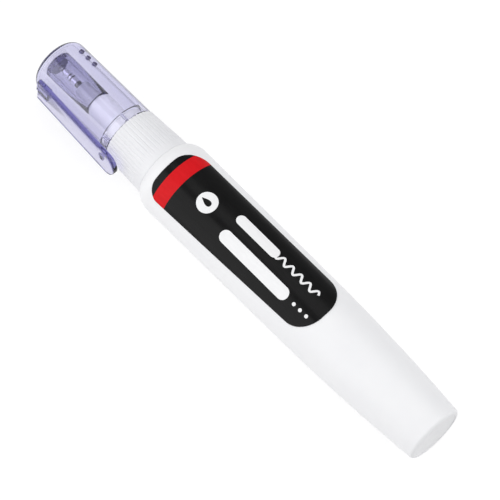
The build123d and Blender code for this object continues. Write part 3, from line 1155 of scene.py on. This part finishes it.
# Sleeve and seal inside the cap
sleeve_top = cap_ceiling - sleeve_air
sleeve_profile = soften(
    [
        (sleeve_mouth_bore, sleeve_mouth),
        (sleeve_radius, sleeve_mouth),
        (sleeve_root_radius, sleeve_top),
        (sleeve_bore, sleeve_top),
    ],
    sleeve_edge,
)
sleeve = finish_mesh(spin(sleeve_profile, even_turns(holder_round_count)), "sleeve_tube")
dress(sleeve, deep_lavender, "cap", "clear_lavender", "inner_sleeve")


def seal_shape(row, radius, height, turn):
    """Seal's outside with shallow flutes."""
    if radius < seal_radius - seal_edge:
        return radius
    offset = math.radians(from_nearest(turn, seal_flute_count)) * radius
    return radius - flute_dip(offset, seal_flute_width, seal_flute_depth)


seal_top = cap_ceiling - seal_air
seal_profile = [
    (seal_mouth_radius - seal_mouth_edge, seal_start + seal_mouth_rise),
    (seal_mouth_radius, seal_start),
    (seal_radius - seal_edge, seal_start),
    (seal_radius - seal_edge / 3, seal_start + seal_edge / 3),
    (seal_radius, seal_start + seal_edge),
    (seal_radius, seal_top),
    (0, seal_top),
    (0, seal_socket_end),
    (seal_socket_radius, seal_socket_end),
    (seal_socket_radius, tip_end),
]
seal_turns = even_turns(seal_flute_count * seal_flute_steps)
seal = finish_mesh(spin(seal_profile, seal_turns, seal_shape), "seal_plug")
dress(seal, dark_seal, "cap", "dark_seal", "tip_seal")

# Pieces that keep their own shape
kept = {
    "neck_gasket": grey_gasket,
    "valve_needle": steel,
    "needle_carrier": natural_plastic,
    "valve_plug": natural_plastic,
    "mixing_ball": steel,
    "correction_fluid": white_fluid,
}
for node, finish in kept.items():
    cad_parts[node].data.materials.clear()
    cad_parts[node].data.materials.append(finish)

# Spring, given a mesh of its own; in the pen it shortens as the needle is pressed back
spring = bpy.data.objects.new("valve_spring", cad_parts["return_spring"].data.copy())
bpy.context.scene.collection.objects.link(spring)
dress(spring, steel, "pen", "steel", "return_spring")
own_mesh(spring)

# Floor and world, which show white to the camera and behind clear plastic, and light the pen less
floor_size = 6.0
floor_gap = 0.05
floor_light_tone = 0.8
floor_shown_tone = 0.3
floor_glow = 0.78
sky_colour = (0.97, 0.975, 1.0, 1)
sky_strength = 0.48


def seen_by(nodes, links, *rays):
    """1 for rays straight to the camera and for the other kinds named."""
    path = nodes.new("ShaderNodeLightPath")
    total = path.outputs["Is Camera Ray"]
    for ray in rays:
        join = nodes.new("ShaderNodeMath")
        join.operation = "MAXIMUM"
        links.new(total, join.inputs[0])
        links.new(path.outputs[ray], join.inputs[1])
        total = join.outputs["Value"]
    return total


floor_mesh = bmesh.new()
floor_level = cad_low.z - floor_gap * MM
floor_corners = []
for x, y in ((-1, -1), (1, -1), (1, 1), (-1, 1)):
    floor_corners.append(floor_mesh.verts.new((x * floor_size, y * floor_size, floor_level)))
floor_mesh.faces.new(floor_corners)
floor = finish_mesh(floor_mesh, "floor")
floor_paint, nodes, links, shader = new_material("floor_paint")
nodes.remove(shader)
lit = nodes.new("ShaderNodeBsdfDiffuse")
lit.inputs["Color"].default_value = (floor_light_tone, floor_light_tone, floor_light_tone, 1)
shown = nodes.new("ShaderNodeBsdfDiffuse")
shown.inputs["Color"].default_value = (floor_shown_tone, floor_shown_tone, floor_shown_tone, 1)
glow = nodes.new("ShaderNodeEmission")
glow.inputs["Strength"].default_value = floor_glow
both = nodes.new("ShaderNodeAddShader")
choose = nodes.new("ShaderNodeMixShader")
links.new(shown.outputs["BSDF"], both.inputs[0])
links.new(glow.outputs["Emission"], both.inputs[1])
links.new(seen_by(nodes, links, "Is Glossy Ray", "Is Transmission Ray"), choose.inputs["Fac"])
links.new(lit.outputs["BSDF"], choose.inputs[1])
links.new(both.outputs["Shader"], choose.inputs[2])
links.new(choose.outputs["Shader"], nodes["Material Output"].inputs["Surface"])
floor.data.materials.append(floor_paint)

scene = bpy.context.scene
scene.view_settings.view_transform = "Standard"
world = bpy.data.worlds.new("studio")
scene.world = world
world.use_nodes = True
nodes = world.node_tree.nodes
links = world.node_tree.links
sky = nodes["Background"]
sky.inputs["Color"].default_value = sky_colour
sky.inputs["Strength"].default_value = sky_strength
white_sky = nodes.new("ShaderNodeBackground")
white_sky.inputs["Color"].default_value = (1, 1, 1, 1)
sky_choice = nodes.new("ShaderNodeMixShader")
links.new(seen_by(nodes, links, "Is Transmission Ray"), sky_choice.inputs["Fac"])
links.new(sky.outputs["Background"], sky_choice.inputs[1])
links.new(white_sky.outputs["Background"], sky_choice.inputs[2])
links.new(sky_choice.outputs["Shader"], nodes["World Output"].inputs["Surface"])

# Lamps and camera. The camera's place, angles and lens were fitted to the pen's outline.
azimuth = math.radians(47.35)
elevation = math.radians(64.88)
camera_place = Vector((83.037, -132.395, 418.478)) * MM
pen_middle = Vector((-cap_end / 2, 0, 0)) * MM
camera_right = Vector((math.cos(azimuth), math.sin(azimuth), 0))
camera_level = Vector((math.sin(azimuth), -math.cos(azimuth), 0))
camera_back = camera_level * math.cos(elevation) + Vector((0, 0, math.sin(elevation)))
camera_up = camera_back.cross(camera_right)


def softbox(name, direction, distance, size, power):
    """Rectangular soft lamp that faces the pen.

    The direction is right, up and towards the camera, as the camera sees. The distance and the size are
    in metres, and the power is in watts.
    """
    data = bpy.data.lights.new(name, "AREA")
    data.shape = "RECTANGLE"
    data.size, data.size_y = size
    data.energy = power
    lamp = bpy.data.objects.new(name, data)
    scene.collection.objects.link(lamp)
    right, up, back = direction
    heading = (camera_right * right + camera_up * up + camera_back * back).normalized()
    lamp.location = pen_middle + heading * distance
    lamp.rotation_mode = "QUATERNION"
    lamp.rotation_quaternion = (-heading).to_track_quat("-Z", "Y")


softbox("key", (-1.1, 0.1, 0.65), distance=1.4, size=(1.7, 1.7), power=11.8)
softbox("top", (0.2, 0.5, 1.0), distance=1.2, size=(1.2, 1.2), power=4.0)
softbox("fill", (1.0, 0.3, 0.6), distance=1.0, size=(0.5, 0.8), power=2.0)

camera_data = bpy.data.cameras.new("camera")
camera_data.lens = 144.0
camera_data.sensor_width = 36.0
camera_data.clip_start = 0.01
camera_data.clip_end = 50.0
camera = bpy.data.objects.new("camera", camera_data)
scene.collection.objects.link(camera)
camera.location = camera_place
camera.rotation_mode = "QUATERNION"
camera.rotation_quaternion = (-camera_back).to_track_quat("-Z", "Y")
scene.camera = camera
